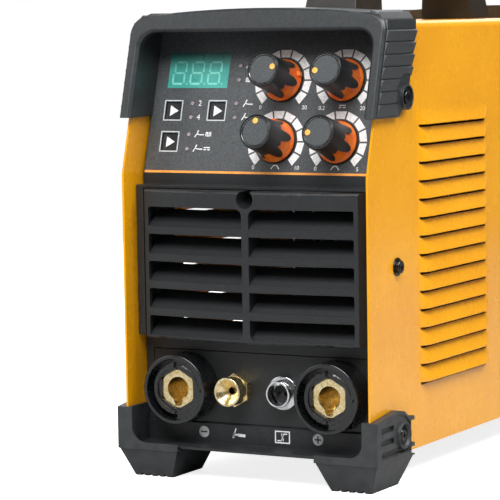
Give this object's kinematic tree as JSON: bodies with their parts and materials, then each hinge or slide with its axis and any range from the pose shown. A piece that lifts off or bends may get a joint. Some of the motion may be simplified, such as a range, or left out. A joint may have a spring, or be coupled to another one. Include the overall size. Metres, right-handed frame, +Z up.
{
  "type": "tig welding machine",
  "caption": "Portable inverter TIG welding machine in a louvred sheet steel case, with sloped control panel, knobs, air grille, welding sockets, corner guards, feet and handle.",
  "frame": {"origin": "on the ground under the middle of the machine", "axes": "+X to the right of someone facing the front, +Y from the control panel to the rear, +Z up"},
  "size_m": [0.1634, 0.404, 0.3],
  "materials": {
    "aluminium": "satin",
    "black_gloss": "gloss",
    "black_insert": "gloss",
    "black_paint": "satin",
    "black_plastic": "fine satin grain",
    "brass": "polished",
    "capacitor_sleeve": "gloss",
    "chrome": "polished",
    "circuit_board": "satin",
    "copper": "satin",
    "dark_key": "satin",
    "display_module": "satin",
    "display_window": "clear tinted",
    "ferrite": "matte",
    "foot_rubber": "matte",
    "galvanised_steel": "satin",
    "grey_overlay": "fine texture",
    "hose_rubber": "matte",
    "knob_black": "satin",
    "knob_orange": "satin",
    "led_lens": "clear",
    "nylon_black": "satin",
    "orange_paint": "gloss",
    "rocker_red": "gloss",
    "soft_rubber": "matte",
    "steel": "satin",
    "steel_wire": "satin"
  },
  "bodies": {
    "machine": {"base_tray": "galvanised_steel", "bus_capacitors": "capacitor_sleeve", "cable_gland": "nylon_black", "case_screws": "steel", "connector_plate": "black_plastic", "control_board": "circuit_board", "control_socket_core": "black_insert", "control_socket_shell": "chrome", "cover_shell": "orange_paint", "display_module": "display_module", "display_window": "display_window", "divider_plate": "aluminium", "fan_guard": "steel_wire", "fan_housing": "black_plastic", "foot_front_left": "foot_rubber", "foot_front_right": "foot_rubber", "foot_rear_left": "foot_rubber", "foot_rear_right": "foot_rubber", "front_grille": "black_plastic", "front_hood": "black_plastic", "front_panel": "black_plastic", "gas_hose": "hose_rubber", "gas_outlet": "brass", "gas_valve": "brass", "handle_body": "black_plastic", "handle_underside": "soft_rubber", "heatsinks": "aluminium", "indicator_leds": "led_lens", "output_busbars": "copper", "output_choke": "ferrite", "panel_overlay": "grey_overlay", "potentiometers": "steel", "power_board": "circuit_board", "power_switch_body": "black_gloss", "rear_hood": "black_plastic", "rear_panel": "black_paint", "socket_housing_negative": "black_plastic", "socket_housing_positive": "black_plastic", "socket_insert_negative": "brass", "socket_insert_positive": "brass", "socket_nuts": "brass", "transformer": "ferrite"},
    "knob_1": {"knob_body_1": "knob_black", "knob_skirt_1": "knob_orange", "pot_shaft_1": "steel"},
    "knob_2": {"knob_body_2": "knob_black", "knob_skirt_2": "knob_orange", "pot_shaft_2": "steel"},
    "knob_3": {"knob_body_3": "knob_black", "knob_skirt_3": "knob_orange", "pot_shaft_3": "steel"},
    "knob_4": {"knob_body_4": "knob_black", "knob_skirt_4": "knob_orange", "pot_shaft_4": "steel"},
    "button_1": {"mode_button_1": "dark_key"},
    "button_2": {"mode_button_2": "dark_key"},
    "button_3": {"mode_button_3": "dark_key"},
    "rocker": {"power_switch_rocker": "rocker_red"},
    "fan": {"fan_rotor": "black_plastic"},
    "plunger": {"valve_plunger": "steel"}
  },
  "joints": [
    {"name": "knob_1_turn", "type": "hinge", "parent": "machine", "child": "knob_1", "pos_m": [0.008, -0.17687, 0.22405], "axis": [0, -0.9613, 0.2756], "range_deg": [-75, 225]},
    {"name": "knob_2_turn", "type": "hinge", "parent": "machine", "child": "knob_2", "pos_m": [0.046, -0.17687, 0.22405], "axis": [0, -0.9613, 0.2756], "range_deg": [-247, 53]},
    {"name": "knob_3_turn", "type": "hinge", "parent": "machine", "child": "knob_3", "pos_m": [0.008, -0.18641, 0.19079], "axis": [0, -0.9613, 0.2756], "range_deg": [-156, 144]},
    {"name": "knob_4_turn", "type": "hinge", "parent": "machine", "child": "knob_4", "pos_m": [0.046, -0.18641, 0.19079], "axis": [0, -0.9613, 0.2756], "range_deg": [-243, 57]},
    {"name": "button_1_press", "type": "slide", "parent": "machine", "child": "button_1", "axis": [0, 0.9613, -0.2756], "range_m": [0, 0.0008], "stiffness_N_per_m": 800},
    {"name": "button_2_press", "type": "slide", "parent": "machine", "child": "button_2", "axis": [0, 0.9613, -0.2756], "range_m": [0, 0.0008], "stiffness_N_per_m": 800},
    {"name": "button_3_press", "type": "slide", "parent": "machine", "child": "button_3", "axis": [0, 0.9613, -0.2756], "range_m": [0, 0.0008], "stiffness_N_per_m": 800},
    {"name": "power_switch_rock", "type": "hinge", "parent": "machine", "child": "rocker", "pos_m": [-0.038, 0.16871, 0.20173], "axis": [-1, 0, 0], "range_deg": [-24, 0]},
    {"name": "fan_spin", "type": "hinge", "parent": "machine", "child": "fan", "pos_m": [0, 0.155, 0.106], "axis": [0, 1, 0], "continuous": true},
    {"name": "gas_valve_lift", "type": "slide", "parent": "machine", "child": "plunger", "axis": [-1, 0, 0], "range_m": [0, 0.002], "stiffness_N_per_m": 300}
  ]
}
